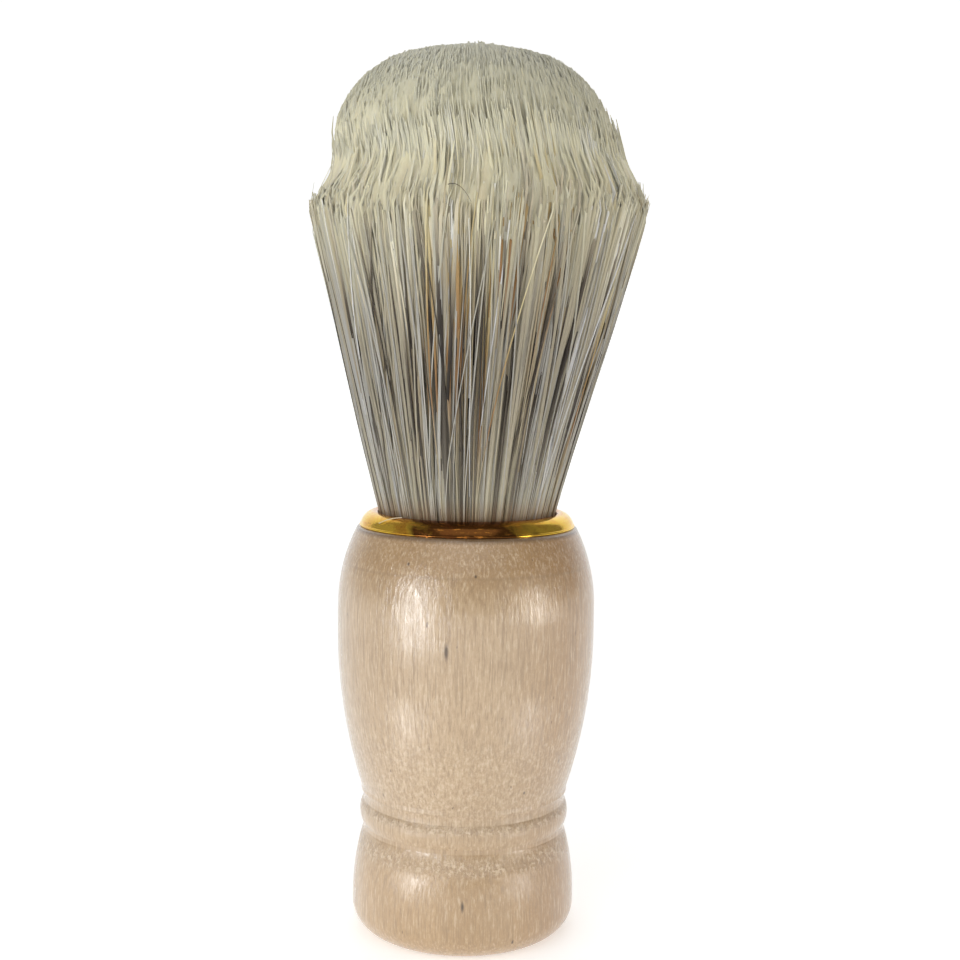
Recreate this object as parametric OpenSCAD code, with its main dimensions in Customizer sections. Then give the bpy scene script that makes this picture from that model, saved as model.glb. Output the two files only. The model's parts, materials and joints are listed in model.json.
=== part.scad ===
// Shaving brush: a turned wooden handle, a gilt ferrule and a knot of bristles in three layers.
// The brush stands on its foot. +Z is up, the origin is the centre of the foot, sizes are in mm.
// The knot bends at two flexures, so each layer is cut at two ball surfaces into roots, a lower
// and an upper section.

/* [Handle] */
// Height of the handle, from the foot to the flat that carries the ferrule
handle_h = 50.9; // [50:0.1:54]
// Diameter across the belly
belly_d = 32; // [31:0.5:34]
// Height at which the belly reaches its full width
belly_z = 38; // [37:0.5:39]
// Height of the straight band at the belly
belly_band = 3; // [1:0.5:4]
// Radius of the long curve below the belly
under_belly_r = 65; // [62:1:75]
// Radius of the shoulder curve above the belly
shoulder_r = 21.5; // [20:0.5:30]
// Rounding of the handle's top edge
top_edge_r = 0.5; // [0.3:0.1:0.8]

/* [Waist] */
// Diameter of the short neck at the waist
neck_d = 25.9; // [25.5:0.1:26.1]
// Diameter of the bead between the two grooves
bead_d = 26.2; // [26:0.1:27]
// Radius of the bead's bulge
bead_bulge_r = 3; // [2.5:0.25:5]
// Height of the upper groove
high_groove_z = 17; // [16.6:0.1:17.4]
// Height of the lower groove
low_groove_z = 13; // [12.6:0.1:13.4]
// Radius of each groove's hollow
groove_r = 1.5; // [1.2:0.1:2]
// Depth of each groove below the neck
groove_depth = 0.25; // [0.15:0.05:0.4]

/* [Foot] */
// Diameter across the foot
foot_d = 27.9; // [27:0.1:30]
// Height at which the foot is widest
foot_wide_z = 4.4; // [4.2:0.1:5]
// Rounding of the foot's lower corner
foot_corner_r = 3.4; // [2:0.1:4.2]
// Radius of the flare from the foot up to the waist
foot_flare_r = 29; // [24:1:40]

/* [Socket] */
// Depth of the bored socket that holds the knot
socket_depth = 18.9; // [16:0.1:24]
// Thickness of the glue under the knot
glue_t = 1; // [0.5:0.1:2]
// Depth and radius of the dimple that the bit's point leaves
dimple = 1.5; // [0.5:0.1:3]

/* [Ferrule] */
// Diameter of the ferrule's flange
ferrule_d = 26.5; // [26:0.1:26.6]
// Height of the flange's crown above the handle
ferrule_h = 1.8; // [1.4:0.1:1.9]
// Thickness of the metal
metal_t = 0.45; // [0.3:0.05:0.5]
// Radius of the roll at the mouth
lip_r = 0.55; // [0.52:0.01:0.6]
// Radius of the bead along the flange's rim
rim_bead_r = 0.16; // [0.1:0.02:0.2]
// Length of the sleeve below the handle's top
sleeve_l = 8.9; // [6:0.1:12]

/* [Knot] */
// Half angle of the fan of bristles
fan_angle = 14.68; // [12:0.1:15]
// Radius of the bundle where it leaves the ferrule
bundle_mouth_r = 10.75; // [10.4:0.05:10.75]
// Height of the resin plug that the roots are cast in
plug_h = 12; // [10:0.1:13]
// Diameter of the binding thread
thread_d = 0.8; // [0.5:0.05:0.85]
// Turns of binding thread
thread_turns = 4; // [2:1:4]
// Share of the fan's radius taken by the core
core_share = 0.5; // [0.4:0.01:0.6]
// Share of the fan's radius taken by the core and the middle layer
middle_share = 0.84; // [0.78:0.01:0.88]

/* [Tips] */
// Height of the dome's top above the handle
loft = 58.2; // [56:0.1:62]
// Diameter of the dome that the core and middle tips make
dome_d = 35.8; // [34:0.1:37]
// Radius of the dome's corner
dome_corner_r = 12.2; // [11:0.1:13]
// Rise of the dome's crown above its corner
crown_rise = 0.9; // [0.5:0.1:2]
// Height above the handle at which the outer layer is widest
outer_wide_h = 39.4; // [36:0.1:41]
// Radius of the outer layer's rounded tips
outer_tip_r = 3.1; // [2.8:0.1:3.6]

/* [Flexures] */
// Height of the sideways flexure's axis above the handle
side_flex_h = 5.1; // [5:0.1:5.3]
// Radius of the ball surface round the sideways flexure
side_ball_r = 15; // [15:0.1:15.5]
// Height of the fore-and-aft flexure's axis above the handle
fore_flex_h = 19.1; // [18.5:0.1:20]
// Radius of the ball surface round the fore-and-aft flexure
fore_ball_r = 16; // [16:0.1:16.5]
// Gap between the sections at each ball surface
flex_gap = 0.4; // [0.3:0.05:0.6]

/* [Hidden] */
$fn = 96;

// Slack left between pieces that are glued into each other
slack = 0.05;
belly_r = belly_d / 2;
neck_r = neck_d / 2;
bead_r = bead_d / 2;
groove_floor_r = neck_r - groove_depth;
foot_r = foot_d / 2;
ferrule_r = ferrule_d / 2;

shoulder_z = belly_z + belly_band;
shoulder_x = belly_r - shoulder_r;
// Centre of the top edge's rounding, tangent to the shoulder curve and to the top
edge_z = handle_h - top_edge_r;
edge_x = shoulder_x + sqrt(pow(shoulder_r - top_edge_r, 2) - pow(edge_z - shoulder_z, 2));
edge_tangent_z = edge_z + top_edge_r * (edge_z - shoulder_z) / (shoulder_r - top_edge_r);
// The neck reaches up into the long curve below the belly
neck_top_z = belly_z - sqrt(pow(under_belly_r, 2) - pow(neck_r - belly_r + under_belly_r, 2));

flange_x = ferrule_r - ferrule_h;
crown_z = handle_h + ferrule_h;
lip_z = crown_z - lip_r;
mouth_r = flange_x - lip_r;
sleeve_r = mouth_r + metal_t;
sleeve_z = handle_h - sleeve_l;
socket_r = sleeve_r + 2 * slack;
socket_z = handle_h - socket_depth;

plug_r = mouth_r - slack;
plug_z = socket_z + glue_t;
plug_top_z = plug_z + plug_h;
plug_edge = 0.6;

// All the bristles point away from one apex below the mouth
apex_z = lip_z - bundle_mouth_r / tan(fan_angle);
thread_pitch = thread_d + slack;
waist_z = plug_top_z + slack + thread_turns * thread_pitch;
waist_r = fan_r(waist_z);
root_z = plug_top_z + slack;

top_z = handle_h + loft;
// The dome's corner circle lies at corner_x, dome_z, and the crown's arc spans the rest
dome_z = top_z - crown_rise - dome_corner_r;
corner_x = dome_d / 2 - dome_corner_r;
crown_r = (pow(corner_x, 2) + pow(crown_rise, 2)) / (2 * crown_rise);
outer_z = handle_h + outer_wide_h;
outer_x = fan_r(outer_z) - outer_tip_r;

side_z = handle_h + side_flex_h;
fore_z = handle_h + fore_flex_h;

// Radius of the fan's outside at height z
function fan_r(z) = (z - apex_z) * tan(fan_angle);

// A band of a turned outline whose side is an arc that is widest, r, at height z
module arc_band(r, arc_r, z, from_z, to_z) {
    intersection() {
        translate([r - arc_r, z]) circle(r = arc_r);
        translate([0, from_z]) square([r, to_z - from_z]);
    }
}

module foot_outline() {
    square([foot_r - foot_corner_r, foot_corner_r]);
    intersection() {
        translate([foot_r - foot_corner_r, foot_corner_r]) circle(r = foot_corner_r);
        square([foot_r, foot_corner_r]);
    }
    translate([0, foot_corner_r]) square([foot_r, foot_wide_z - foot_corner_r]);
    arc_band(foot_r, foot_flare_r, foot_wide_z, foot_wide_z, low_groove_z);
}

module waist_outline() {
    translate([0, low_groove_z]) square([groove_floor_r, high_groove_z - low_groove_z]);
    translate([0, high_groove_z]) square([neck_r, neck_top_z - high_groove_z]);
    arc_band(bead_r, bead_bulge_r, (low_groove_z + high_groove_z) / 2, low_groove_z, high_groove_z);
}

module body_outline() {
    arc_band(belly_r, under_belly_r, belly_z, high_groove_z, belly_z);
    translate([0, belly_z]) square([belly_r, belly_band]);
    arc_band(belly_r, shoulder_r, shoulder_z, shoulder_z, edge_tangent_z);
    translate([0, shoulder_z]) square([edge_x, handle_h - shoulder_z]);
    translate([edge_x, edge_z]) circle(r = top_edge_r);
}

module handle() {
    color("burlywood") difference() {
        rotate_extrude() {
            difference() {
                union() {
                    foot_outline();
                    waist_outline();
                    body_outline();
                }
                translate([groove_floor_r + groove_r, high_groove_z]) circle(r = groove_r);
                translate([groove_floor_r + groove_r, low_groove_z]) circle(r = groove_r);
            }
        }
        translate([0, 0, socket_z]) cylinder(r = socket_r, h = socket_depth + 1);
        translate([0, 0, socket_z - dimple]) cylinder(r1 = 0, r2 = dimple, h = dimple);
    }
}

// Glue under the knot and round it, up to the sleeve
module socket_glue() {
    color("khaki") difference() {
        union() {
            translate([0, 0, socket_z]) cylinder(r = socket_r - slack / 2, h = sleeve_z - socket_z);
            translate([0, 0, socket_z - dimple]) cylinder(r1 = 0, r2 = dimple, h = dimple);
        }
        translate([0, 0, plug_z]) cylinder(r = mouth_r, h = plug_h);
    }
}

// Spun ferrule: a domed flange on the handle, rolled in at the mouth and drawn down as a sleeve
module ferrule() {
    color("goldenrod") rotate_extrude() {
        intersection() {
            difference() {
                translate([flange_x, handle_h]) circle(r = ferrule_h);
                translate([flange_x, handle_h]) circle(r = ferrule_h - metal_t);
            }
            translate([flange_x, handle_h]) square([ferrule_h, ferrule_h]);
        }
        intersection() {
            difference() {
                translate([flange_x, lip_z]) circle(r = lip_r);
                translate([flange_x, lip_z]) circle(r = lip_r - metal_t);
            }
            translate([mouth_r, lip_z]) square([lip_r, lip_r]);
        }
        translate([mouth_r, sleeve_z]) square([metal_t, lip_z - sleeve_z]);
        translate([ferrule_r - slack, handle_h + rim_bead_r]) circle(r = rim_bead_r);
    }
}

module resin_plug() {
    color("sienna") rotate_extrude() polygon([
        [0, plug_z], [plug_r - plug_edge, plug_z], [plug_r, plug_z + plug_edge],
        [plug_r, plug_top_z], [0, plug_top_z]
    ]);
}

module binding_thread() {
    color("whitesmoke") for (turn = [0 : thread_turns - 1])
        translate([0, 0, root_z + thread_pitch * (turn + 0.5)])
            rotate_extrude() translate([waist_r + thread_pitch / 2, 0]) circle(d = thread_d);
}

// A layer of the knot between two shares of its radius, from the plug to beyond the tips
module layer_outline(inner_share, outer_share) {
    polygon([
        [waist_r * inner_share, root_z], [waist_r * outer_share, root_z],
        [waist_r * outer_share, waist_z], [fan_r(top_z) * outer_share, top_z],
        [fan_r(top_z) * inner_share, top_z], [waist_r * inner_share, waist_z]
    ]);
}

// Outline of the dome that the core and middle tips make
module dome_outline() {
    translate([0, root_z]) square([dome_d / 2, dome_z - root_z]);
    translate([0, dome_z]) square([corner_x, dome_corner_r]);
    translate([corner_x, dome_z]) circle(r = dome_corner_r);
    intersection() {
        translate([0, top_z - crown_r]) circle(r = crown_r);
        translate([0, dome_z]) square([corner_x, top_z - dome_z]);
    }
}

// Outline that rounds the outer layer's tips
module outer_tip_outline() {
    translate([0, root_z]) square([fan_r(outer_z), outer_z - root_z]);
    translate([outer_x, outer_z]) circle(r = outer_tip_r);
}

module ball_outline(z, r) {
    translate([0, z]) circle(r = r);
}

// The three sections of a layer, given as its outline
module roots() {
    rotate_extrude() intersection() {
        children();
        ball_outline(side_z, side_ball_r);
    }
}

module lower_section() {
    rotate_extrude() difference() {
        intersection() {
            children();
            ball_outline(fore_z, fore_ball_r);
        }
        ball_outline(side_z, side_ball_r + flex_gap);
    }
}

module upper_section() {
    rotate_extrude() difference() {
        intersection() {
            children();
            translate([0, fore_z]) square([fan_r(top_z), top_z - fore_z]);
        }
        ball_outline(fore_z, fore_ball_r + flex_gap);
    }
}

module core_layer() {
    intersection() {
        layer_outline(0, core_share);
        dome_outline();
    }
}

module middle_layer() {
    intersection() {
        layer_outline(core_share, middle_share);
        dome_outline();
    }
}

module outer_layer() {
    intersection() {
        layer_outline(middle_share, 1);
        outer_tip_outline();
    }
}

module core_bristle_roots() {
    color("wheat") roots() core_layer();
}

module middle_bristle_roots() {
    color("tan") roots() middle_layer();
}

module outer_bristle_roots() {
    color("lightgray") roots() outer_layer();
}

module core_bristles_lower() {
    color("wheat") lower_section() core_layer();
}

module middle_bristles_lower() {
    color("tan") lower_section() middle_layer();
}

module outer_bristles_lower() {
    color("lightgray") lower_section() outer_layer();
}

module core_bristles_upper() {
    color("cornsilk") upper_section() core_layer();
}

module middle_bristles_upper() {
    color("beige") upper_section() middle_layer();
}

module outer_bristles_upper() {
    color("silver") upper_section() outer_layer();
}

handle();
ferrule();
socket_glue();
resin_plug();
binding_thread();
core_bristle_roots();
middle_bristle_roots();
outer_bristle_roots();
core_bristles_lower();
middle_bristles_lower();
outer_bristles_lower();
core_bristles_upper();
middle_bristles_upper();
outer_bristles_upper();
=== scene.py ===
import json
import math

import bpy
import numpy as np
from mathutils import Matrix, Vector


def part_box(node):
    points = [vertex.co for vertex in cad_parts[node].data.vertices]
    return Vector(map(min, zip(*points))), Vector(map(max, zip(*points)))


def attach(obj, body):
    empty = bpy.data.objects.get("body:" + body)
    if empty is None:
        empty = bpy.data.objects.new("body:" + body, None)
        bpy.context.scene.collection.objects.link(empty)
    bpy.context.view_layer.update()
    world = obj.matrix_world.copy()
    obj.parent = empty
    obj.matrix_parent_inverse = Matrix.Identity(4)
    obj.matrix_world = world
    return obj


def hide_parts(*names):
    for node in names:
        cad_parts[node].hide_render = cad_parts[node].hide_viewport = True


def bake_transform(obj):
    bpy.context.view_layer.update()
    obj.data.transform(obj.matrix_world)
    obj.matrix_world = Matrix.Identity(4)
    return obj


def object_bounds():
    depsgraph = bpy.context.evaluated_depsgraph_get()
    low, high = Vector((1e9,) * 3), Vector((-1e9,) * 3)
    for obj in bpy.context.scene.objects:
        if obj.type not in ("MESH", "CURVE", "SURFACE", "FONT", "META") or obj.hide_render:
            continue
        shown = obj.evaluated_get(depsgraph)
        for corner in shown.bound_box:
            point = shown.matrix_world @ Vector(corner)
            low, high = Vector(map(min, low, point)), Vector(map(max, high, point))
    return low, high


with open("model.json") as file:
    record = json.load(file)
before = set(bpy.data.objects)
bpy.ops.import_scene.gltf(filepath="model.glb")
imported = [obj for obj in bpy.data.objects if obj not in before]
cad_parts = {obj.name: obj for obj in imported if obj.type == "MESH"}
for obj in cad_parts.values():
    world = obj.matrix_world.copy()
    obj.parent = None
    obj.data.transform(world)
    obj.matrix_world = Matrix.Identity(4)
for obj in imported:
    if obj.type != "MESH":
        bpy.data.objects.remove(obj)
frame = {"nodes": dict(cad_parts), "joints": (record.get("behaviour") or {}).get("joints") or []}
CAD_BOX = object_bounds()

MM = 0.001
rng = np.random.default_rng(20)


# ---------------------------------------------------------------- sizes, all from the frame
def profile_points(node):
    """The radius and the height of every vertex of a turned CAD node."""
    mesh = frame["nodes"][node].data
    co = np.empty(len(mesh.vertices) * 3)
    mesh.vertices.foreach_get("co", co)
    co = co.reshape(-1, 3)
    return np.hypot(co[:, 0], co[:, 1]), co[:, 2]


def fan_line():
    """Slope of the fan's outside, and the height of the apex that it points away from."""
    r, z = profile_points("outer_bristles_lower")
    low, wide = np.argmin(z), np.argmax(r)
    slope = (r[wide] - r[low]) / (z[wide] - z[low])
    return slope, z[low] - r[low] / slope


def top_profile(nodes):
    """The nodes' upper outline from the axis outwards, as radii and heights."""
    r, z = (np.concatenate(v) for v in zip(*(profile_points(n) for n in nodes)))
    inwards = np.argsort(-r)
    r, z = r[inwards], z[inwards]
    upper = z >= np.maximum.accumulate(z)
    return r[upper][::-1], z[upper][::-1]


def handle_outline():
    """The outside of the handle, as heights and radii."""
    r, z = profile_points("handle")
    outside = r > OUTSIDE_SHARE * HANDLE_HIGH.x
    heights = np.unique(np.round(z[outside], 6))
    return heights, np.array([r[outside & (np.abs(z - h) < 1e-6)].max() for h in heights])


def groove_heights():
    """Heights at which the outside of the waist is narrowest: its two grooves."""
    heights, radii = (v[OUTLINE[0] < WAIST_SHARE * HANDLE_TOP] for v in OUTLINE)
    dips = (radii[1:-1] < radii[:-2]) & (radii[1:-1] <= radii[2:])
    return heights[1:-1][dips]


OUTSIDE_SHARE = 0.75  # of the belly's radius: wider than the socket, narrower than the waist
WAIST_SHARE = 0.45  # of the handle's height: above the waist and below the belly

HANDLE_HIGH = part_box("handle")[1]
HANDLE_TOP = HANDLE_HIGH.z
OUTLINE = handle_outline()
FERRULE_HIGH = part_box("ferrule")[1]
FERRULE_TOP = FERRULE_HIGH.z
TOTAL_HEIGHT = CAD_BOX[1][2]
SHOULDER_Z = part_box("outer_bristles_upper")[1].z
JOINTS = {j["name"]: Vector(j["pos_m"]) for j in frame["joints"]}
FAN_SLOPE, APEX_Z = fan_line()
DOME = top_profile(("core_bristles_upper", "middle_bristles_upper"))
OUTER_TIPS = top_profile(("outer_bristles_upper",))
ROOT_Z = HANDLE_TOP + 0.3 * MM  # where the bristles start, inside the ferrule
SHOULDER_RING_Z = HANDLE_TOP - 4.4 * MM  # a faint turned ring, and the end of the belly's smooth part
# The height at which the lower and upper pieces of bristle meet, between the two hinges
SPLIT_Z = 0.5 * (JOINTS["sideways_bend"].z + JOINTS["fore_and_aft_bend"].z) + 5 * MM


# ---------------------------------------------------------------- node material helpers
class Nodes:
    """A material's node tree, built one call at a time."""

    def __init__(self, name):
        self.material = bpy.data.materials.new(name)
        self.material.use_nodes = True
        self.tree = self.material.node_tree
        self.shader = self.tree.nodes["Principled BSDF"]

    def add(self, kind, **settings):
        node = self.tree.nodes.new("ShaderNode" + kind)
        for key, value in settings.items():
            setattr(node, key, value)
        return node

    def feed(self, socket, value):
        """Links a socket to another node's output, or sets it."""
        if isinstance(value, bpy.types.NodeSocket):
            self.tree.links.new(value, socket)
        elif isinstance(value, tuple) and socket.type == "RGBA":
            socket.default_value = (*value, 1.0)
        else:
            socket.default_value = value

    def set(self, **values):
        for key, value in values.items():
            self.feed(self.shader.inputs[key.replace("_", " ")], value)

    def place(self, scale=(1, 1, 1)):
        """The piece's own coordinates in millimetres, stretched by scale."""
        mapping = self.add("Mapping")
        mapping.inputs["Scale"].default_value = [s / MM for s in scale]
        self.feed(mapping.inputs["Vector"], self.add("TexCoord").outputs["Object"])
        return mapping.outputs["Vector"]

    def noise(self, scale, detail=3.0, roughness=0.5, distortion=0.0):
        noise = self.add("TexNoise")
        self.feed(noise.inputs["Vector"], self.place(scale))
        noise.inputs["Scale"].default_value = 1.0
        noise.inputs["Detail"].default_value = detail
        noise.inputs["Roughness"].default_value = roughness
        noise.inputs["Distortion"].default_value = distortion
        return noise.outputs["Fac"]

    def ramp(self, value, low, high, start=0.0, end=1.0):
        """value mapped so that low gives start and high gives end."""
        node = self.add("MapRange")
        for name, number in (("From Min", low), ("From Max", high), ("To Min", start), ("To Max", end)):
            node.inputs[name].default_value = number
        self.feed(node.inputs["Value"], value)
        return node.outputs["Result"]

    def maths(self, operation, a, b):
        node = self.add("Math", operation=operation)
        self.feed(node.inputs[0], a)
        self.feed(node.inputs[1], b)
        return node.outputs[0]

    def mix(self, factor, a, b, blend="MIX", strength=1.0):
        """b over a, as far as factor says, and no further than strength."""
        node = self.add("Mix", data_type="RGBA", blend_type=blend)
        sockets = {s.identifier: s for s in node.inputs}
        if strength != 1.0:
            factor = self.maths("MULTIPLY", factor, strength)
        self.feed(sockets["Factor_Float"], factor)
        self.feed(sockets["A_Color"], a)
        self.feed(sockets["B_Color"], b)
        return next(s for s in node.outputs if s.identifier == "Result_Color")

    def axes(self):
        parts = self.add("SeparateXYZ")
        self.feed(parts.inputs[0], self.place())
        return parts.outputs

    def height_band(self, z, half_width, soft):
        """1 within half_width of the height z, falling to 0 over soft."""
        away = self.maths("ABSOLUTE", self.maths("SUBTRACT", self.axes()["Z"], z), 0.0)
        return self.ramp(away, half_width + soft, half_width)

    def spot(self, place, radius, stretch):
        """1 at a place given in mm, falling to 0 at radius, and stretched along the height."""
        away = self.add("VectorMath", operation="DISTANCE")
        self.feed(away.inputs[0], self.place((1, 1, 1 / stretch)))
        away.inputs[1].default_value = (*place[:2], place[2] / stretch)
        return self.ramp(away.outputs["Value"], radius, 0.3 * radius)

    def bump(self, height, distance, strength=1.0, normal=None):
        node = self.add("Bump")
        node.inputs["Distance"].default_value = distance * MM
        node.inputs["Strength"].default_value = strength
        self.feed(node.inputs["Height"], height)
        if normal is not None:
            self.feed(node.inputs["Normal"], normal)
        return node.outputs["Normal"]


# ---------------------------------------------------------------- materials
# Dark marks in the wood: degrees round from the front, height, radius, stretch along the grain
MARKS = ((-8, 38.1, 0.34, 3.8), (4, 46.8, 0.22, 1.3), (-27, 47.9, 0.22, 1.3),
         (0, 7.1, 0.25, 3.5), (32, 20.3, 0.2, 1.5), (26, 2.3, 0.2, 2.5),
         (112, 30, 0.3, 4), (190, 43, 0.35, 4), (250, 9, 0.25, 3))

# Linear colours; shoulder, foot and right_side_shade multiply the colour under them. right_side_shade is
# painted shade on the side away from the left lamps, and shoulder is painted shade under the ferrule
# together with a warmer lacquer there
WOOD = {
    "pale": (0.53, 0.38, 0.232), "deep": (0.47, 0.328, 0.19), "shoulder": (0.80, 0.70, 0.53),
    "foot": (0.93, 0.86, 0.74), "right_side_shade": (0.84, 0.68, 0.47),
    "band": (0.42, 0.285, 0.165), "vessel": (0.27, 0.175, 0.095),
    "light_stipple": (0.70, 0.555, 0.39), "dark_stipple": (0.34, 0.22, 0.12),
    "light_fibre": (0.72, 0.57, 0.40), "dark_fibre": (0.29, 0.185, 0.10),
    "light_chip": (0.72, 0.56, 0.38), "dark_chip": (0.30, 0.17, 0.08),
    "fleck": (0.12, 0.065, 0.03), "mark": (0.07, 0.04, 0.02),
    # rim is a painted shadow on the wood under the ferrule's edge
    "ring": (0.30, 0.20, 0.11), "rim": (0.10, 0.05, 0.02),
}


def marks(m):
    """The dark marks, as one mask."""
    mask = 0.0
    for degrees, height, radius, stretch in MARKS:
        r = np.interp(height * MM, *OUTLINE) / MM
        place = (r * math.sin(math.radians(degrees)), -r * math.cos(math.radians(degrees)), height)
        mask = m.maths("MAXIMUM", mask, m.spot(place, radius, stretch))
    return mask


def wood_tone(m, low, high, shoulder):
    """The broad colour: cloudy and deeper at the foot, with painted shade that darkens and warms the
    shoulder under the ferrule, where the lacquer is warmer too, and the right side.
    """
    x, _, z = m.axes()
    tone = m.noise((0.12, 0.12, 0.03), detail=3)
    bands = m.noise((0.8, 0.8, 0.03), detail=3, roughness=0.6)
    colour = m.mix(m.ramp(tone, 0.3, 0.7), WOOD["pale"], WOOD["deep"])
    # Painted shade: the shoulder under the ferrule is made darker and warmer; a warmer lacquer there adds
    # to it.
    colour = m.mix(m.ramp(z, shoulder - 3, shoulder + 1), colour, WOOD["shoulder"], "MULTIPLY")
    colour = m.mix(m.ramp(z, high, low - 3), colour, WOOD["foot"], "MULTIPLY")
    # Painted shade: the right side, away from the left lamps, is made darker and warmer.
    colour = m.mix(m.ramp(x, 5, 15), colour, WOOD["right_side_shade"], "MULTIPLY")
    return m.mix(m.ramp(bands, 0.45, 0.7), colour, WOOD["band"], strength=0.3)


def rough_turning(m, high, shoulder):
    """Where the turning is rough: above the waist, and less on the shoulder."""
    above_waist = m.height_band(high + 5, 3.5, 4)
    on_shoulder = m.ramp(m.axes()["Z"], shoulder - 1, shoulder + 1, 0.25, 0.6)
    return m.maths("MAXIMUM", above_waist, on_shoulder)


def add_stipple(m, colour, stipple, rough_part):
    """The light and dark dots of end grain, where the turning is rough."""
    light = m.maths("MULTIPLY", m.ramp(stipple, 0.50, 0.64), rough_part)
    dark = m.maths("MULTIPLY", m.ramp(stipple, 0.48, 0.36), rough_part)
    colour = m.mix(light, colour, WOOD["light_stipple"], strength=0.6)
    return m.mix(dark, colour, WOOD["dark_stipple"], strength=0.5)


def add_grain(m, colour, lines, fibres):
    """Open vessels along the grain, and the fibres between them."""
    colour = m.mix(lines, colour, WOOD["vessel"], strength=0.5)
    colour = m.mix(m.ramp(fibres, 0.52, 0.64), colour, WOOD["dark_fibre"], strength=0.5)
    return m.mix(m.ramp(fibres, 0.46, 0.35), colour, WOOD["light_fibre"], strength=0.5)


def add_dark_marks_and_rim_shadow(m, colour, shoulder):
    """Flecks, the dark marks, the shoulder's ring and the shade under the ferrule."""
    flecks = m.noise((1.9, 1.9, 0.55), detail=1)
    top = HANDLE_TOP / MM
    colour = m.mix(m.ramp(flecks, 0.785, 0.80), colour, WOOD["fleck"], strength=0.7)
    colour = m.mix(marks(m), colour, WOOD["mark"], strength=0.9)
    colour = m.mix(m.height_band(shoulder, 0.06, 0.18), colour, WOOD["ring"], strength=0.3)
    # Painted shadow: a dark line on the wood just under the ferrule's edge.
    return m.mix(m.ramp(m.axes()["Z"], top - 0.7, top - 0.25), colour, WOOD["rim"], strength=0.7)


def torn_zone(m, low, high):
    """The two bands of torn fibres, just below the grooves."""
    below_high = m.height_band(high - 0.6, 0.15, 0.6)
    below_low = m.height_band(low - 1.5, 0.4, 1.2)
    return m.maths("MAXIMUM", below_high, below_low)


def add_torn_fibres(m, colour, torn, zone):
    """Light and dark chips of wood in the torn bands."""
    light = m.maths("MULTIPLY", zone, m.ramp(torn, 0.53, 0.58))
    dark = m.maths("MULTIPLY", zone, m.ramp(torn, 0.42, 0.36))
    colour = m.mix(light, colour, WOOD["light_chip"], strength=0.7)
    return m.mix(dark, colour, WOOD["dark_chip"], strength=0.4)


def wood_material():
    """Pale, close-grained wood with the grain along the handle, under clear lacquer."""
    m = Nodes("handle_wood")
    low, high, shoulder = (z / MM for z in (*groove_heights(), SHOULDER_RING_Z))
    vessels = m.noise((2.7, 2.7, 0.10), detail=4, roughness=0.65)
    fibres = m.noise((4.2, 4.2, 0.4), detail=4, roughness=0.7)
    stipple = m.noise((2.4, 2.4, 2.0), detail=5, roughness=0.75)
    torn = m.noise((1.9, 1.9, 1.5), detail=4, roughness=0.7)
    belly = m.height_band(0.5 * (high + shoulder) + 3, 6, 7)
    lines = m.maths("MULTIPLY", m.ramp(vessels, 0.51, 0.66), m.ramp(belly, 0, 1, 0.4, 1.0))
    rough_part = rough_turning(m, high, shoulder)
    zone = torn_zone(m, low, high)

    colour = wood_tone(m, low, high, shoulder)
    colour = add_stipple(m, colour, stipple, rough_part)
    colour = add_grain(m, colour, lines, fibres)
    colour = add_dark_marks_and_rim_shadow(m, colour, shoulder)
    colour = add_torn_fibres(m, colour, torn, zone)

    normal = m.bump(m.ramp(vessels, 0.7, 0.45), 0.05, 0.5)
    normal = m.bump(fibres, 0.04, 0.5, normal)
    normal = m.bump(m.maths("MULTIPLY", stipple, rough_part), 0.10, 0.45, normal)
    normal = m.bump(m.maths("MULTIPLY", zone, m.ramp(torn, 0.35, 0.65)), 0.14, 0.7, normal)
    m.set(Base_Color=colour, Normal=normal, Coat_Normal=normal)
    m.set(Roughness=m.ramp(m.maths("MAXIMUM", zone, lines), 0, 1, 0.34, 0.5))
    m.set(Coat_Weight=1.0, Coat_Roughness=0.07, Coat_IOR=1.75, Specular_IOR_Level=0.2)
    return m.material


GILT = {
    "gold": (0.90, 0.58, 0.07), "amber": (0.66, 0.32, 0.04), "mouth": (0.50, 0.17, 0.03),
    # painted_dark_reflection and painted_red_reflection paint a dark reddish reflection on the ferrule's
    # front
    "painted_dark_reflection": (0.10, 0.025, 0.01), "painted_red_reflection": (0.75, 0.22, 0.05), "speck": (0.30, 0.13, 0.03),
}


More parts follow.
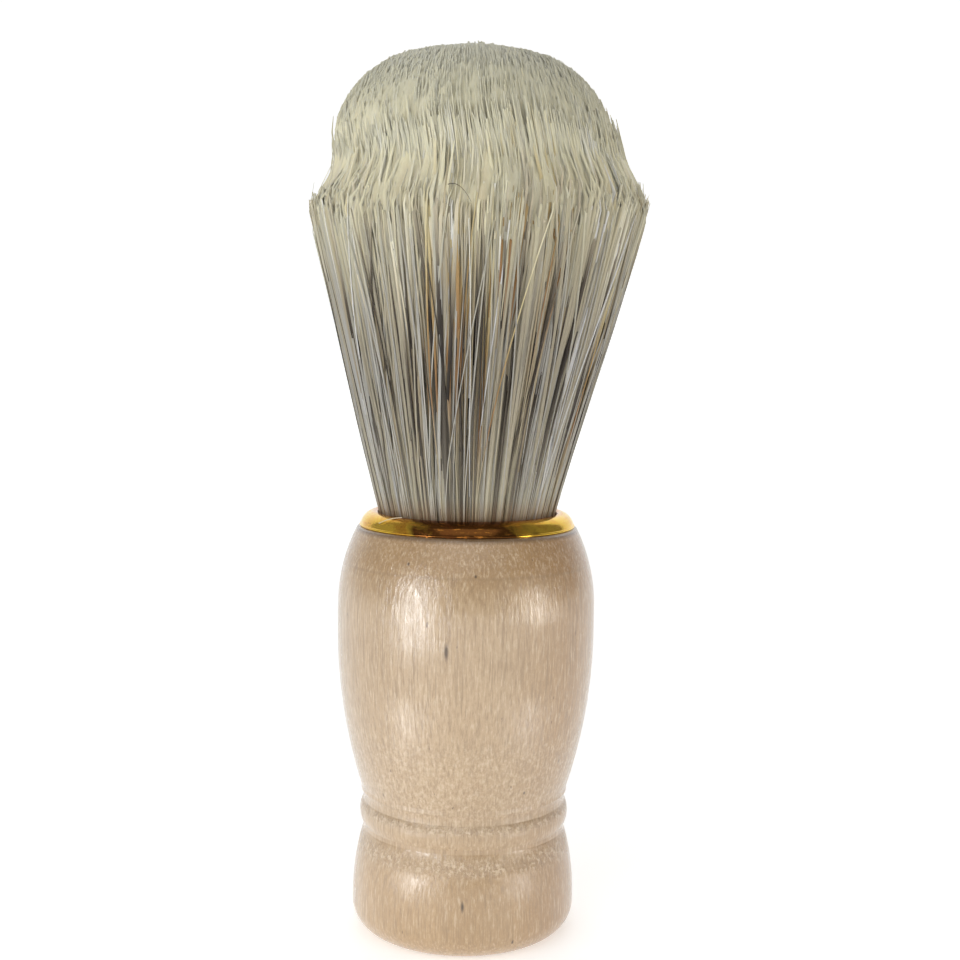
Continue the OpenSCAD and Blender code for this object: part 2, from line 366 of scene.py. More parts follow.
def gilt_material():
    """Spun metal with a golden lacquer that has gone amber at the mouth, and a painted dark reddish
    reflection on its front.
    """
    m = Nodes("gilt_metal")
    patches = m.noise((0.25, 0.25, 0.5), detail=4, roughness=0.6, distortion=0.5)
    spin = m.noise((0.4, 0.4, 12.0), detail=2)
    specks = m.noise((4.0, 4.0, 4.0), detail=2)
    rings = m.noise((0.5, 0.5, 3.5), detail=3, roughness=0.6)
    x, y, _ = m.axes()
    squares = m.maths("ADD", m.maths("MULTIPLY", x, x), m.maths("MULTIPLY", y, y))
    radius = m.maths("SQRT", squares, 0.0)
    mouth = FERRULE_HIGH.x / MM - 1.6
    uneven = m.maths("ADD", m.maths("ABSOLUTE", x, 0.0), m.ramp(patches, 0.3, 0.7, -2.5, 2.5))
    # Painted reflection: the front of the ferrule is painted dark red where its middle reflects dark
    # surroundings.
    front = m.maths("MULTIPLY", m.ramp(uneven, 8.0, 4.5), m.ramp(y, 0.0, -6.0))
    dark_reflection_mask = m.maths("MULTIPLY", front, m.ramp(rings, 0.80, 0.58))
    red_reflection_mask = m.maths("MULTIPLY", front, m.ramp(rings, 0.59, 0.67))
    colour = m.mix(m.ramp(patches, 0.48, 0.64), GILT["gold"], GILT["amber"])
    colour = m.mix(dark_reflection_mask, colour, GILT["painted_dark_reflection"], strength=0.95)
    colour = m.mix(red_reflection_mask, colour, GILT["painted_red_reflection"], strength=0.7)
    colour = m.mix(m.ramp(radius, mouth + 0.3, mouth - 0.5), colour, GILT["mouth"], strength=0.8)
    colour = m.mix(m.ramp(specks, 0.64, 0.72), colour, GILT["speck"], strength=0.6)
    m.set(Base_Color=colour, Metallic=1.0, Roughness=m.ramp(spin, 0.3, 0.7, 0.10, 0.24))
    m.set(Normal=m.bump(spin, 0.012, 0.4))
    return m.material


def cast_material(name, pale, dark, roughness):
    """Glue or resin: cloudy, with small bubbles."""
    m = Nodes(name)
    cloud = m.noise((0.5, 0.5, 0.5), detail=4)
    bubbles = m.noise((3.0, 3.0, 3.0), detail=1)
    m.set(Base_Color=m.mix(m.ramp(cloud, 0.35, 0.65), pale, dark))
    m.set(Normal=m.bump(bubbles, 0.1, 0.4), Roughness=roughness, Coat_Weight=0.4)
    return m.material


def thread_material():
    """Waxed linen thread with its twist."""
    m = Nodes("thread")
    fibres = m.noise((3.0, 3.0, 12.0), detail=5, roughness=0.7)
    m.set(Base_Color=m.mix(m.ramp(fibres, 0.3, 0.7), (0.74, 0.70, 0.60), (0.52, 0.46, 0.36)))
    m.set(Normal=m.bump(fibres, 0.12, 0.8), Roughness=0.75)
    return m.material


def bristle_material(name):
    """Boar bristle: each strand brings its own colour, with fine mottling along it."""
    m = Nodes(name)
    tint = m.add("Attribute", attribute_name="tint").outputs["Color"]
    mottle = m.noise((5.0, 5.0, 0.7), detail=3)
    light = m.add("CombineXYZ")
    for socket in light.inputs:
        m.feed(socket, m.ramp(mottle, 0.25, 0.75, 0.94, 1.06))
    m.set(Base_Color=m.mix(1.0, tint, light.outputs[0], "MULTIPLY"))
    m.set(Roughness=m.ramp(mottle, 0.3, 0.7, 0.48, 0.62), Specular_IOR_Level=0.2)
    m.set(Subsurface_Weight=0.4, Subsurface_Radius=(0.3 * MM, 0.27 * MM, 0.2 * MM), Subsurface_Scale=1.0)
    return m.material


# ---------------------------------------------------------------- colours along a bristle
# Each kind's weight among the bristles, and its linear colours at the heights of COLOUR_STOPS, which are
# shares of the way from the mouth of the ferrule to the top
COLOUR_STOPS = (0.0, 0.15, 0.3, 0.45, 0.6, 0.75, 0.88, 1.0)
TIP_COLOURS = ((0.605, 0.575, 0.425), (0.665, 0.645, 0.515))
KINDS = {
    "cream": (0.50, ((0.46, 0.42, 0.31), (0.37, 0.33, 0.245), (0.31, 0.275, 0.205), (0.355, 0.315, 0.23),
                     (0.465, 0.42, 0.29), (0.75, 0.70, 0.495), *TIP_COLOURS)),
    "silver": (0.24, ((0.46, 0.435, 0.365), (0.41, 0.39, 0.345), (0.36, 0.345, 0.31), (0.38, 0.36, 0.31),
                      (0.465, 0.435, 0.325), (0.75, 0.705, 0.515), *TIP_COLOURS)),
    "tan": (0.09, ((0.38, 0.32, 0.22), (0.34, 0.28, 0.19), (0.32, 0.26, 0.17), (0.35, 0.29, 0.19),
                   (0.45, 0.39, 0.26), (0.73, 0.67, 0.47), *TIP_COLOURS)),
    "amber": (0.02, ((0.40, 0.365, 0.27), (0.38, 0.33, 0.23), (0.24, 0.12, 0.045), (0.37, 0.25, 0.11),
                     (0.55, 0.47, 0.27), (0.75, 0.69, 0.49), *TIP_COLOURS)),
    "black": (0.14, ((0.18, 0.16, 0.125), (0.10, 0.085, 0.065), (0.02, 0.015, 0.011), (0.07, 0.055, 0.04),
                     (0.50, 0.44, 0.32), (0.75, 0.70, 0.53), *TIP_COLOURS)),
    "white": (0.02, ((0.54, 0.52, 0.47), (0.60, 0.59, 0.565), (0.66, 0.65, 0.63), (0.68, 0.67, 0.64),
                     (0.70, 0.68, 0.60), (0.78, 0.75, 0.62), *TIP_COLOURS)),
}
KIND_COLOURS = np.array([k[1] for k in KINDS.values()])
STAIN = np.array((0.26, 0.13, 0.045))
STAIN_HEIGHT = 1.1 * MM
DARKEST = 0.36  # the height share that a streak's own height is moved to

# Streaks of one kind of bristle: degrees round from the front towards +X, height in mm, kind
STREAKS = (
    (-26, 64, "black"), (-15, 68, "black"), (-15, 73, "amber"), (-6, 75, "amber"),
    (-4, 72, "black"), (5, 66, "amber"), (14, 83, "amber"), (17, 77, "black"),
    (24, 84, "amber"), (47, 80, "white"), (59, 63, "black"), (62, 66, "amber"),
    (95, 72, "black"), (118, 80, "amber"), (140, 66, "black"), (163, 75, "amber"),
    (185, 70, "black"), (204, 82, "amber"), (221, 64, "black"), (243, 77, "black"),
    (262, 68, "amber"), (281, 74, "black"),
)
STREAK_WIDTH = 1.4  # degrees
AMBER_WIDTH = 0.7  # of the others' width


def height_share(z):
    """How far up z is, from the mouth of the ferrule (0) to the top of the dome (1)."""
    return (z - FERRULE_TOP) / (TOTAL_HEIGHT - FERRULE_TOP)


def smooth(t):
    """An S-shaped step from 0 to 1, as t goes from 0 to 1."""
    t = np.clip(t, 0, 1)
    return t * t * (3 - 2 * t)


def pick_kinds(count, kinds=tuple(KINDS)):
    """Random kinds, as rows of KIND_COLOURS, in the shares that KINDS gives."""
    weights = np.array([KINDS[k][0] if k in kinds else 0.0 for k in KINDS])
    return rng.choice(len(weights), size=count, p=weights / weights.sum())


def colours_along(kind, z, shift, brightness):
    """A colour for each height z of each strand: from its kind, moved by shift, stained at the mouth."""
    t = np.clip(height_share(z), 0, 1)
    t = np.clip(t + shift[:, None] * np.sin(np.pi * t), 0, 1)
    out = np.empty((*z.shape, 3))
    for k, table in enumerate(KIND_COLOURS):
        rows = kind == k
        for channel in range(3):
            out[rows, :, channel] = np.interp(t[rows], COLOUR_STOPS, table[:, channel])
    out *= 1 + (brightness[:, None] * (1.3 - t))[..., None]
    stain = 0.8 * smooth(1 - (z - FERRULE_TOP) / STAIN_HEIGHT)[..., None]
    return np.clip(out * (1 - stain) + STAIN * stain, 0.01, 0.9)


# ---------------------------------------------------------------- bristles
SIDES = 4  # of a strand's cross-section
LOWER_RINGS = 5
UPPER_RINGS = 8
CORE_SHARE = 0.5  # of the fan's width
DOME_SHARE = 0.84  # of the fan's width
BULB = 0.8  # how far the dome's outermost bristles follow the CAD dome inwards
DOME_NARROWING = 0.035
HALVINGS = 14  # in the search for the height of a tip
OUTWARD_AT_MOUTH = 0.5  # how strongly a strand's shading normals lean outwards
OUTWARD_ABOVE = 3.2


def fan_radius(z):
    """Radius of the fan's outside at the height z."""
    return (z - APEX_Z) * FAN_SLOPE


def dome_edge(z):
    """Radius of the dome's outermost bristles, which curve in over it like a bulb."""
    straight = DOME_SHARE * fan_radius(z)
    dome = np.interp(z, DOME[1][::-1], DOME[0][::-1])
    follow = BULB * smooth((z - SHOULDER_Z) / (8 * MM) + 1)
    return straight + follow * (np.minimum(dome, straight) - straight)


def ring_radius(share, z, late):
    """Radius at which a bristle stands, from its share of the fan's width; late ones turn in higher up."""
    edge = dome_edge(z)
    turned_in = 0.85 * smooth((z - late - SHOULDER_Z) / (5 * MM) + 0.7)
    rim = (share - DOME_SHARE) * fan_radius(z) * (1 - turned_in)
    return np.where(share < DOME_SHARE, share / DOME_SHARE * edge, edge + rim)


def side_lean(z):
    """The fan leans a little to +X, most at the outer layer's tips."""
    fan = 0.8 * MM * smooth((z - FERRULE_TOP) / (34 * MM))
    upright = 1 - 0.9 * smooth((z - SHOULDER_Z) / (9 * MM))
    tips = 0.5 * MM * np.exp(-(((z - SHOULDER_Z) / (3 * MM)) ** 2))
    return fan * upright + tips


def narrowing(z):
    """The trimmed dome is a little narrower than its layers' own width."""
    return 1 - DOME_NARROWING * smooth((z - SHOULDER_Z + 4 * MM) / (5 * MM))


class Layer:
    """The bristles between two shares of the fan's width, drawn together into tufts.

    Tufts pull their strands together. Of the strands, the share crossing leans sideways by about slant,
    the share strays stands outside the fan, and the inner and front ones are up to overlap longer.
    """

    def __init__(self, inner, outer, top, count, tufts, pull, jitter, wander=0.02, crossing=0.0,
                 slant=0.1, overlap=0.0, strays=0.0, kinds=tuple(KINDS)):
        share = np.sqrt(rng.uniform(inner**2, outer**2, count))
        angle = rng.uniform(0, 2 * np.pi, count)
        front = smooth(1.3 * np.cos(angle) - 0.3)  # 1 at the front, 0 at the sides and the back
        self.count = count
        self.top = top
        self.flat = np.stack((share * np.sin(angle), -share * np.cos(angle)), 1)
        tuft = self.gather(tufts, pull)
        self.slope(tuft, tufts, wander, crossing, slant)
        self.late = rng.normal(0, 0.9 * MM, count) - 5 * MM * front * rng.uniform(0, 1, count)
        self.phase = rng.uniform(0, 2 * np.pi, (count, 1, 1))
        stray = rng.uniform(0, 1, count) < strays
        self.limit = np.where(stray, 1.0 + rng.uniform(0, 0.03, count), 1.0) * outer
        self.dye(tuft, tufts, kinds)
        self.stain_streaks(np.degrees(angle))
        inside = np.clip(1 - 2 * (share - inner) / (outer - inner), 0, 1)
        longer = overlap * rng.uniform(0, 1, count) ** 1.4 * np.maximum(inside, front)
        uneven = rng.normal(0, 0.9 * jitter, tufts)[tuft] + rng.normal(-0.4 * jitter, jitter, count)
        uneven += np.sign(overlap) * (1.2 * np.sin(angle) - 2.0) * MM  # outer tips: lowest on the left
        self.tip = self.tips() + uneven + longer

    def gather(self, tufts, pull):
        """Finds each strand's tuft, its middle, and how strongly it pulls."""
        centres = self.flat[rng.choice(self.count, tufts, replace=False)]
        tuft = np.argmin(((self.flat[:, None] - centres[None]) ** 2).sum(2), axis=1)
        self.centre = centres[tuft]
        self.pull = (pull * rng.uniform(0.3, 1.25, tufts))[tuft]
        return tuft

    def slope(self, tuft, tufts, wander, crossing, slant):
        """Gives each strand its lean and bow; some lean sideways, across the others."""
        count = self.count
        self.lean = rng.normal(0, wander, (count, 2)) + rng.normal(0, wander, (tufts, 2))[tuft]
        crosses = rng.uniform(0, 1, count) < crossing
        sideways = np.stack((-self.flat[:, 1], self.flat[:, 0]), 1)
        self.lean += sideways * (rng.normal(0, slant, count) * crosses)[:, None]
        self.bow = rng.normal(0, 0.5 * wander, (count, 2))

    def dye(self, tuft, tufts, kinds):
        """Gives each strand its kind, half of them their tuft's, and its own shade."""
        count = self.count
        keeps_tuft = rng.uniform(0, 1, count) < 0.5
        self.kind = np.where(keeps_tuft, pick_kinds(tufts, kinds)[tuft], pick_kinds(count, kinds))
        self.shift = rng.normal(0, 0.05, count)
        self.brightness = rng.normal(0, 0.035, count) + rng.normal(0, 0.045, tufts)[tuft]

    def stain_streaks(self, angle):
        """Gives the bristles of each streak its kind, darkest at the streak's height."""
        for place, height, kind in STREAKS:
            away = (angle - place + 180) % 360 - 180
            width = STREAK_WIDTH * (AMBER_WIDTH if kind == "amber" else 1.0)
            near = np.abs(away) < rng.uniform(0.3, 1.5, self.count) * width
            self.kind[near] = list(KINDS).index(kind)
            self.shift[near] = DARKEST - height_share(height * MM) + rng.normal(0, 0.03, near.sum())

    def across(self, z):
        """Where each strand stands at the heights z, in shares of the fan's width.

        Tufts are tightest at mid-height and open again towards the tips.
        """
        t = np.clip(height_share(z), 0, 1)[..., None]
        gather = self.pull[:, None, None] * (0.5 + 0.5 * smooth(t / 0.4) - 0.8 * smooth((t - 0.45) / 0.3))
        wave = (np.sin(4.5 * t + self.phase) - np.sin(self.phase)) * smooth(4 * t)
        q = self.flat[:, None] * (1 - gather) + self.centre[:, None] * gather
        q = q + self.lean[:, None] * t**1.3
        q = q + self.bow[:, None] * wave
        r = np.linalg.norm(q, axis=2)
        limit = self.limit[:, None]
        return q * np.where(r > limit, limit / np.maximum(r, 1e-9), 1.0)[..., None]

    def spread(self, z):
        """Where each strand stands at the heights z, before the fan's lean."""
        q = self.across(z)
        share = np.maximum(np.linalg.norm(q, axis=2, keepdims=True), 1e-9)
        return q * ring_radius(share, z[..., None], self.late[:, None, None]) / share

    def path(self, z):
        """The points of each strand at the heights z."""
        xy = self.spread(z) * narrowing(z)[..., None]
        xy[..., 0] += side_lean(z)
        return np.concatenate((xy, z[..., None]), 2)

    def tips(self):
        """Height at which each strand meets the trimmed surface."""
        low = np.full(self.count, SPLIT_Z)
        high = np.full(self.count, self.top[1].max())
        for _ in range(HALVINGS):
            z = 0.5 * (low + high)
            above = z > np.interp(np.linalg.norm(self.spread(z[:, None])[:, 0], axis=1), *self.top)
            low, high = np.where(above, low, z), np.where(above, z, high)
        return z

    def colours(self, z):
        return colours_along(self.kind, z, self.shift, self.brightness)


def tube_rings(path, radius):
    """Each strand's rings of points, and shading normals that lean outwards, or off the dome over it."""
    tangent = np.gradient(path, axis=1)
    tangent /= np.linalg.norm(tangent, axis=2, keepdims=True)
    outward = path * (1, 1, 0) + (1e-6, 0, 0)
    side = np.cross(tangent, outward)
    side /= np.linalg.norm(side, axis=2, keepdims=True)
    across = np.cross(side, tangent)
    turn = (np.arange(SIDES) + 0.5) * 2 * np.pi / SIDES
    ring = (np.cos(turn)[None, None, :, None] * across[:, :, None]
            + np.sin(turn)[None, None, :, None] * side[:, :, None])
    z = path[..., 2]
    reach = path * (1, 1, 0) / DOME[0].max()
    rise = np.sqrt(np.clip(1 - (reach**2).sum(2), 0.05, 1))
    over = smooth((z - SHOULDER_Z + 2 * MM) / (8 * MM))[..., None]
    lean = across * (1 - over) + (reach + rise[..., None] * (0, 0, 1)) * over
    strength = OUTWARD_AT_MOUTH + OUTWARD_ABOVE * smooth((height_share(z) - 0.2) / 0.5)
    normals = ring + (strength[..., None] * lean)[:, :, None]
    normals /= np.linalg.norm(normals, axis=3, keepdims=True)
    return path[:, :, None] + radius[:, :, None, None] * ring, normals


def mesh_piece(name, slot, vertices, faces, rounded, colours, uv, normals=None):
    """A piece from quads, with a colour for each vertex and its own UV map; rounded faces are smooth."""
    mesh = bpy.data.meshes.new(name)
    mesh.vertices.add(len(vertices))
    mesh.vertices.foreach_set("co", vertices.ravel())
    mesh.loops.add(faces.size)
    mesh.loops.foreach_set("vertex_index", faces.ravel())
    mesh.polygons.add(len(faces))
    mesh.polygons.foreach_set("loop_start", np.arange(0, faces.size, 4))
    mesh.update(calc_edges=True)
    mesh.polygons.foreach_set("use_smooth", rounded)
    edge_of_corner = np.empty(faces.size, np.int32)
    mesh.loops.foreach_get("edge_index", edge_of_corner)
    sharp = np.zeros(len(mesh.edges), bool)
    sharp[edge_of_corner.reshape(-1, 4)[~rounded].ravel()] = True
    mesh.attributes.new("sharp_edge", "BOOLEAN", "EDGE").data.foreach_set("value", sharp)
    tint = mesh.attributes.new("tint", "FLOAT_COLOR", "POINT")
    tint.data.foreach_set("color", np.insert(colours.reshape(-1, 3), 3, 1.0, axis=1).ravel())
    mesh.uv_layers.new(name="OFBake").data.foreach_set("uv", uv.ravel())
    mesh.validate()
    if normals is not None:
        mesh.normals_split_custom_set_from_vertices(normals.reshape(-1, 3))
    mesh.materials.append(BRISTLES[slot])
    piece = bpy.data.objects.new(name, mesh)
    bpy.context.scene.collection.objects.link(piece)
    return piece


def tube_uv(count, rings):
    """UV corners of every tube's faces, each tube in its own cell of a square grid."""
    around = np.arange(SIDES)[:, None] + np.array((0, 1, 1, 0))
    along = np.arange(rings - 1)[:, None] + np.array((0, 0, 1, 1))
    uv = np.empty(((rings - 1) * SIDES + 2, 4, 2))
    uv[:-2, :, 0] = np.tile(around, (rings - 1, 1)) / SIDES
    uv[:-2, :, 1] = np.repeat(along, SIDES, 0) / (rings - 1)
    uv[-2:, :, 0] = 0.5
    uv[-2, :, 1] = 0.0
    uv[-1, :, 1] = 1.0
    columns = math.ceil(math.sqrt(count))
    cell = np.stack((np.arange(count) % columns, np.arange(count) // columns), 1)
    return (cell[:, None, None] + 0.1 + 0.8 * uv[None]) / columns


def tubes(name, slot, points, normals, colours):
    """A piece made of closed tubes."""
    count, rings = points.shape[:2]
    corner = np.arange(SIDES)
    a = np.arange(rings - 1)[:, None] * SIDES + corner[None]
    b = np.arange(rings - 1)[:, None] * SIDES + (corner[None] + 1) % SIDES
    quads = np.stack((a, b, b + SIDES, a + SIDES), 2).reshape(-1, 4)
    faces = np.concatenate((quads, corner[::-1][None], corner[None] + (rings - 1) * SIDES))
    all_faces = faces[None] + np.arange(count)[:, None, None] * rings * SIDES
    rounded = np.ones((count, len(faces)), bool)
    rounded[:, -2:] = False
    return mesh_piece(name, slot, points.reshape(-1, 3), all_faces.reshape(-1, 4), rounded.ravel(),
                      np.repeat(colours[:, :, None], SIDES, 2), tube_uv(count, rings), normals)


def bend_lower(piece):
    """Bakes the transform of a piece below the split into its mesh; it is not bent across the sideways
    hinge.
    """
    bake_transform(piece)


def bend_upper(piece):
    """Bakes the transform of a piece above the split into its mesh; it is not bent across the fore-and-aft
    hinge.
    """
    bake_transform(piece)


def strand_pieces(name, slot, layer, thin, thick, nodes=()):
    """A layer's strands, as one piece below the split and one above it."""
    low_z = np.repeat(np.linspace(ROOT_Z, SPLIT_Z, LOWER_RINGS)[None], layer.count, 0)
    steps = np.linspace(0, 1, UPPER_RINGS)[None, 1:]
    z = np.concatenate((low_z, SPLIT_Z + (layer.tip - SPLIT_Z)[:, None] * steps), 1)
    up = (z - ROOT_Z) / (layer.tip[:, None] - ROOT_Z)
    taper = 1 - 0.6 * smooth((up - 0.85) / 0.15)
    radius = rng.uniform(thin, thick, layer.count)[:, None] * (1 + 0.7 * up) * taper
    parts = (*tube_rings(layer.path(z), radius), layer.colours(z))
    low = tubes(name + "_lower", slot, *(part[:, :LOWER_RINGS] for part in parts))
    bend_lower(low)
    high = tubes(name + "_upper", slot, *(part[:, LOWER_RINGS - 1:] for part in parts))
    bend_upper(high)
    if nodes:
        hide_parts(*nodes[:2])
        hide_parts(nodes[2])


# A split end's rings: how far below the tip, as shares of its length, and how thick
FLAG_RINGS = np.array((1.0, 0.6, 0.25, 0.0))
FLAG_THICKNESS = np.array((0.3, 1.0, 0.8, 0.3))


def flag_piece(slot, layer, length, radius):
    """The fine split ends that fill the trimmed surface."""
    z = layer.tip[:, None] - length * rng.uniform(0.6, 1.4, (layer.count, 1)) * FLAG_RINGS
    size = radius * rng.uniform(0.7, 1.4, (layer.count, 1)) * FLAG_THICKNESS
    piece = tubes(slot + "_split_ends", slot, *tube_rings(layer.path(z), size), layer.colours(z))
    bend_upper(piece)


def loose_hair(name, body, route, radius, colour):
    """One cut hair on a curve that three points guide: degrees from the front, radius, height."""
    steps = np.linspace(0, 1, 14)[:, None]
    a, b, c = (np.array((r * math.sin(math.radians(d)), -r * math.cos(math.radians(d)), z))
               for d, r, z in route)
    path = ((1 - steps) ** 2 * a + 2 * steps * (1 - steps) * b + steps**2 * c)[None]
    thickness = radius * (1 - 0.5 * steps.T**2)
    piece = tubes(name, "outer", *tube_rings(path, thickness), np.full(path.shape, 1.0) * colour)
    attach(piece, body)


def loose_hairs():
    """A dark curl caught on the shoulder, and a bristle lying across the ferrule."""
    curl = ((-7.0, 90.6), (-3.5, 91.2), (0.0, 88.8))
    loose_hair("caught_curl", "knot_upper",
               [(d, ring_radius(1.0, z * MM, 0.0) + 0.35 * MM, z * MM) for d, z in curl],
               0.06 * MM, (0.10, 0.085, 0.06))
    edge = FERRULE_HIGH.x
    loose_hair("bristle_on_ferrule", "handle",
               ((-41, edge - 1.6 * MM, FERRULE_TOP + 0.08 * MM), (-47, edge - 0.6 * MM, FERRULE_TOP),
                (-53, edge - 0.2 * MM, FERRULE_TOP - 0.75 * MM)),
               0.07 * MM, (0.72, 0.60, 0.40))


PACKED_SHARE = 0.75  # of the fan's width
PACKED_SHARE_AT_TIPS = 0.975
PACKED_DEPTH = 0.3 * MM  # below the trimmed surface
PACKED_COLUMNS = 320
FLUTES = 0.012  # how far the columns stand in or out, as a share of the radius


def across_ring(start, columns):
    """Quads that close a ring of vertices from side to side."""
    k = np.arange(columns // 2 - 1)
    return start + np.stack((k, k + 1, columns - 2 - k, columns - 1 - k), 1)


def packing(name, heights, radii):
    """The bristles too deep to tell apart: a closed, fluted body under the strands."""
    columns, rings = PACKED_COLUMNS, len(heights)
    angle = np.arange(columns) * 2 * np.pi / columns
    r = radii[:, None] * (1 + rng.uniform(-FLUTES, FLUTES, columns))
    ragged = smooth((heights - SHOULDER_Z) / (4 * MM))[:, None]
    z = heights[:, None] - np.abs(rng.normal(0, 0.3 * MM, (rings, columns))) * ragged
    r = r * narrowing(z)
    points = np.stack((r * np.cos(angle) + side_lean(z), r * np.sin(angle), z), 2)

    kind = np.repeat(pick_kinds(columns // 2), 2)
    shade = 0.16 + 0.86 * smooth((heights - (SHOULDER_Z - 22 * MM)) / (14 * MM))
    colours = colours_along(kind, z.T, np.zeros(columns), rng.normal(0, 0.04, columns))
    colours = colours * shade[None, :, None]

    column = np.arange(columns)
    base = np.arange(rings - 1)[:, None] * columns
    after = (column + 1) % columns
    walls = np.stack((base + column, base + after, base + after + columns, base + column + columns), 2)
    ends = (across_ring(0, columns)[:, ::-1], across_ring((rings - 1) * columns, columns))
    faces = np.concatenate((walls.reshape(-1, 4), *ends))
    wall_count = len(faces) - 2 * len(ends[0])
    around = column[:, None] + np.array((0, 1, 1, 0))
    along = np.arange(rings - 1)[:, None] + np.array((0, 0, 1, 1))
    uv = np.full((len(faces), 4, 2), 0.99)
    uv[:wall_count, :, 0] = np.tile(around, (rings - 1, 1)) / columns
    uv[:wall_count, :, 1] = np.repeat(along, columns, 0) / (rings - 1) * 0.96
    rounded = np.arange(len(faces)) < wall_count
    return mesh_piece(name, "middle", points.reshape(-1, 3), faces, rounded,
                      colours.transpose(1, 0, 2), uv)


def packing_pieces():
    """The packed bristles: a piece below the split, and one above it that ends in a dome."""
    low = np.linspace(ROOT_Z, SPLIT_Z, 6)
    bend_lower(packing("packed_bristles_lower", low, PACKED_SHARE * fan_radius(low)))

    side = np.linspace(SPLIT_Z, SHOULDER_Z - 4 * MM, 12)
    swell = smooth((side - (SHOULDER_Z - 19 * MM)) / (12 * MM))
    side_r = (PACKED_SHARE + (PACKED_SHARE_AT_TIPS - PACKED_SHARE) * swell) * fan_radius(side)
    crown_r = np.linspace(PACKED_SHARE_AT_TIPS * DOME[0].max(), 0.4 * MM, 30)
    crown = np.interp(crown_r, *DOME) - PACKED_DEPTH
    ease = smooth(np.linspace(0, 1, 9)[1:-1])
    slope = np.linspace(side[-1], crown[0], 9)[1:-1]
    heights = np.concatenate((side, slope, crown))
    radii = np.concatenate((side_r, side_r[-1] + (crown_r[0] - side_r[-1]) * ease, crown_r))
    bend_upper(packing("packed_bristles_upper", heights, radii))


# ---------------------------------------------------------------- stage, light and camera
def stage():
    """A pale, back-lit sweep: a floor that curves up into a wall behind the brush."""
    half, near, far, bend, height, steps = 1.6, -1.6, 1.2, 0.6, 2.2, 24
    profile = [(near, 0.0), (far - bend, 0.0)]
    for i in range(1, steps + 1):
        a = i / steps * math.pi / 2
        profile.append((far - bend + bend * math.sin(a), bend - bend * math.cos(a)))
    profile.append((far, height))
    vertices = [(x, y, z) for y, z in profile for x in (-half, half)]
    faces = [(2 * i, 2 * i + 1, 2 * i + 3, 2 * i + 2) for i in range(len(profile) - 1)]
    mesh = bpy.data.meshes.new("sweep")
    mesh.from_pydata(vertices, [], faces)
    mesh.polygons.foreach_set("use_smooth", [True] * len(faces))
    sweep = bpy.data.objects.new("sweep", mesh)
    bpy.context.scene.collection.objects.link(sweep)
    m = Nodes("sweep_paper")
    m.set(Base_Color=(0.9, 0.9, 0.89), Roughness=0.9, Emission_Color=(1, 1, 1), Emission_Strength=0.45)
    mesh.materials.append(m.material)


def softbox(name, place, size, power, colour=(1, 1, 1), aim=(0, 0, 0.05), diffuse=True, glossy=True):
    """A soft lamp: without diffuse it is only seen as a highlight, without glossy it makes none."""
    light = bpy.data.lights.new(name, "AREA")
    light.shape = "RECTANGLE"
    light.size, light.size_y = size
    light.energy = power
    light.color = colour
    lamp = bpy.data.objects.new(name, light)
    lamp.location = place
    lamp.rotation_euler = (Vector(aim) - Vector(place)).to_track_quat("-Z", "Y").to_euler()
    lamp.visible_camera = False
    lamp.visible_diffuse = diffuse
    lamp.visible_glossy = glossy
    bpy.context.scene.collection.objects.link(lamp)


def room():
    """Dim room light, brighter towards the left."""
    world = bpy.data.worlds.new("room")
    world.use_nodes = True
    tree = world.node_tree
    parts = tree.nodes.new("ShaderNodeSeparateXYZ")
    tree.links.new(tree.nodes.new("ShaderNodeTexCoord").outputs["Generated"], parts.inputs[0])
    ramp = tree.nodes.new("ShaderNodeMapRange")
    for name, number in (("From Min", -0.85), ("From Max", 0.5), ("To Min", 0.34), ("To Max", 0.22)):
        ramp.inputs[name].default_value = number
    tree.links.new(parts.outputs["X"], ramp.inputs["Value"])
    tree.links.new(ramp.outputs["Result"], tree.nodes["Background"].inputs["Strength"])
    tree.nodes["Background"].inputs["Color"].default_value = (1, 1, 1, 1)
    bpy.context.scene.world = world


def camera():
    """A close camera, level with the lower bristles and looking slightly down."""
    data = bpy.data.cameras.new("camera")
    data.lens = 56.25
    data.sensor_width = 36
    data.clip_start = 0.01
    view = bpy.data.objects.new("camera", data)
    distance, height = 185.5 * MM, 74.1 * MM
    pitch, yaw, roll = math.radians(5.41), math.radians(-0.47), math.radians(0.77)
    view.location = (0, -distance, height)
    view.rotation_mode = "XYZ"
    view.rotation_euler = (math.pi / 2 - pitch, 0, yaw)
    view.rotation_euler.rotate_axis("Z", roll)
    bpy.context.scene.collection.objects.link(view)
    bpy.context.scene.camera = view


# ---------------------------------------------------------------- the brush
def dress_cad_nodes():
    """Gives the hard CAD nodes their materials."""
    materials = {
        "handle": wood_material(),
        "ferrule": gilt_material(),
        "socket_glue": cast_material("glue", (0.62, 0.47, 0.2), (0.45, 0.3, 0.1), 0.3),
        "resin_plug": cast_material("resin", (0.36, 0.18, 0.06), (0.2, 0.09, 0.03), 0.25),
        "binding_thread": thread_material(),
    }
    for node, material in materials.items():
        for material_slot in frame["nodes"][node].material_slots:
            material_slot.material = material


def cad_layers(layer):
    """The three CAD nodes that stand for a layer of bristles."""
    return layer + "_bristle_roots", layer + "_bristles_lower", layer + "_bristles_upper"


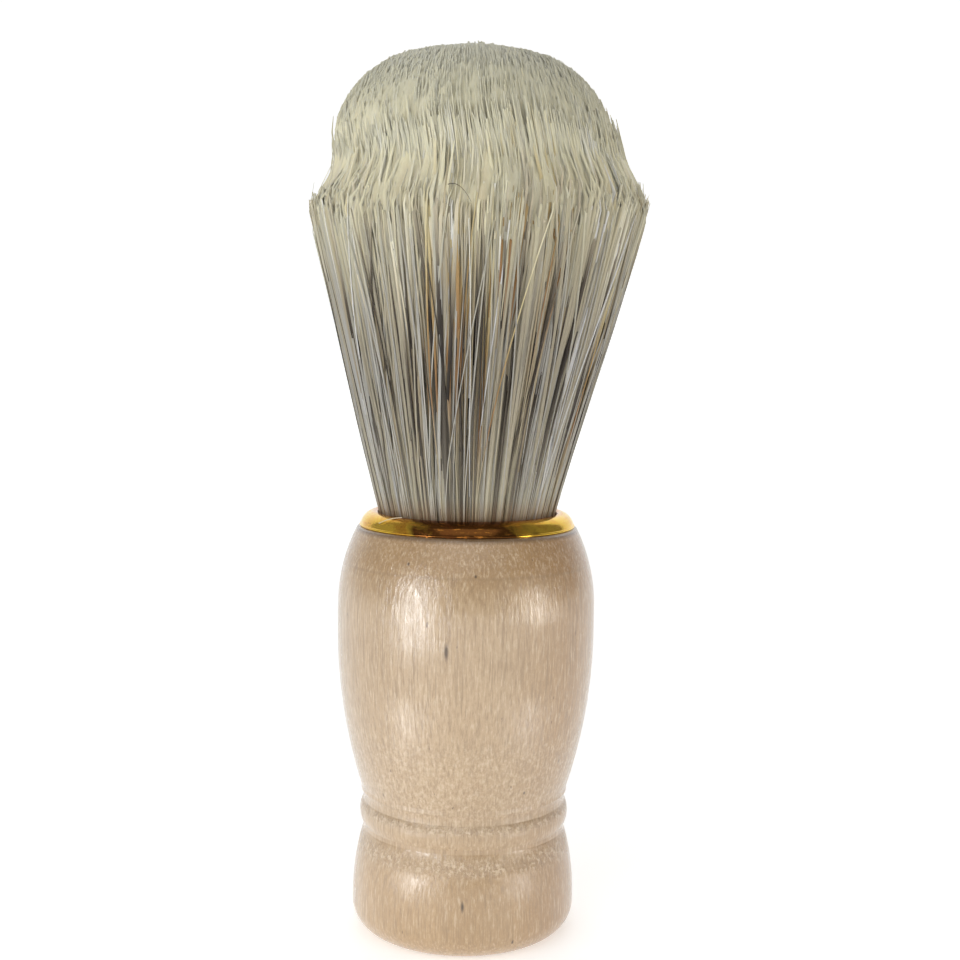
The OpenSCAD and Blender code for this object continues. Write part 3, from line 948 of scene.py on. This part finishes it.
def strands():
    """The long bristles of the three layers, and the loose ones outside them."""
    strand_pieces("outer_strands", "outer",
                  Layer(**OUTER, count=3300, tufts=150, pull=0.6, jitter=0.8 * MM, wander=0.03,
                        crossing=0.4, slant=0.14, overlap=8 * MM, strays=0.01),
                  0.10 * MM, 0.20 * MM, cad_layers("outer"))
    strand_pieces("outer_fine_strands", "outer",
                  Layer(**OUTER, count=3200, tufts=90, pull=0.4, jitter=0.8 * MM, wander=0.04,
                        crossing=0.4, slant=0.15, overlap=9 * MM, strays=0.01),
                  0.06 * MM, 0.12 * MM)
    strand_pieces("loose_strands", "outer",
                  Layer(inner=1.0, outer=1.012, top=OUTER_TIPS, count=190, tufts=180, pull=0.0,
                        jitter=1.5 * MM, wander=0.06, crossing=1.0, slant=0.25,
                        kinds=("white", "silver", "black")),
                  0.04 * MM, 0.08 * MM)
    strand_pieces("middle_strands", "middle",
                  Layer(**MIDDLE, count=2800, tufts=200, pull=0.4, jitter=0.2 * MM),
                  0.11 * MM, 0.18 * MM, cad_layers("middle"))
    strand_pieces("core_strands", "core",
                  Layer(**CORE, count=900, tufts=90, pull=0.3, jitter=0.2 * MM),
                  0.11 * MM, 0.18 * MM, cad_layers("core"))


def split_ends():
    """The split ends of the three layers."""
    flag_piece("outer", Layer(**OUTER, count=7000, tufts=300, pull=0.3, jitter=0.9 * MM, overlap=9 * MM),
               12 * MM, 0.14 * MM)
    flag_piece("middle", Layer(**MIDDLE, count=7000, tufts=300, pull=0.2, jitter=0.15 * MM),
               17 * MM, 0.15 * MM)
    flag_piece("core", Layer(**CORE, count=2500, tufts=90, pull=0.2, jitter=0.15 * MM),
               14 * MM, 0.15 * MM)


def lights():
    """Two windows seen as highlights, soft fills for them, two low lamps, a ceiling and a backdrop."""
    cool, warm = (0.96, 0.98, 1.0), (1.0, 0.95, 0.88)
    softbox("left_window", (-0.110, -0.116, 0.047), (0.040, 0.080), 0.10, cool,
            aim=(0, 0, 0.047), diffuse=False)
    softbox("right_window", (0.158, -0.086, 0.044), (0.036, 0.055), 0.055, warm,
            aim=(0, 0, 0.044), diffuse=False)
    softbox("left_fill", (-0.276, -0.291, 0.14), (0.45, 0.26), 0.66, cool, glossy=False)
    softbox("right_fill", (0.351, -0.191, 0.14), (0.45, 0.26), 0.30, warm, glossy=False)
    softbox("low_left", (-0.0443, -0.0379, 0.0065), (0.014, 0.012), 0.0022, aim=(0, 0, 0.0065))
    softbox("low_right", (0.0475, -0.0332, 0.0065), (0.012, 0.012), 0.0016, aim=(0, 0, 0.0065))
    softbox("ceiling", (0.0, -0.30, 0.36), (0.45, 0.35), 0.39, aim=(0, 0, 0.09))
    softbox("backdrop", (0.0, 0.5, 1.3), (0.8, 0.4), 3.4, aim=(0, 1.2, 0.5))


BRISTLES = {slot: bristle_material(slot + "_bristle") for slot in ("core", "middle", "outer")}
OUTER = {"inner": DOME_SHARE, "outer": 1.0, "top": OUTER_TIPS}
MIDDLE = {"inner": CORE_SHARE, "outer": DOME_SHARE, "top": DOME}
CORE = {"inner": 0.0, "outer": CORE_SHARE, "top": DOME}

dress_cad_nodes()
strands()
loose_hairs()
packing_pieces()
split_ends()
stage()
room()
lights()
camera()
bpy.context.scene.view_settings.view_transform = "Standard"
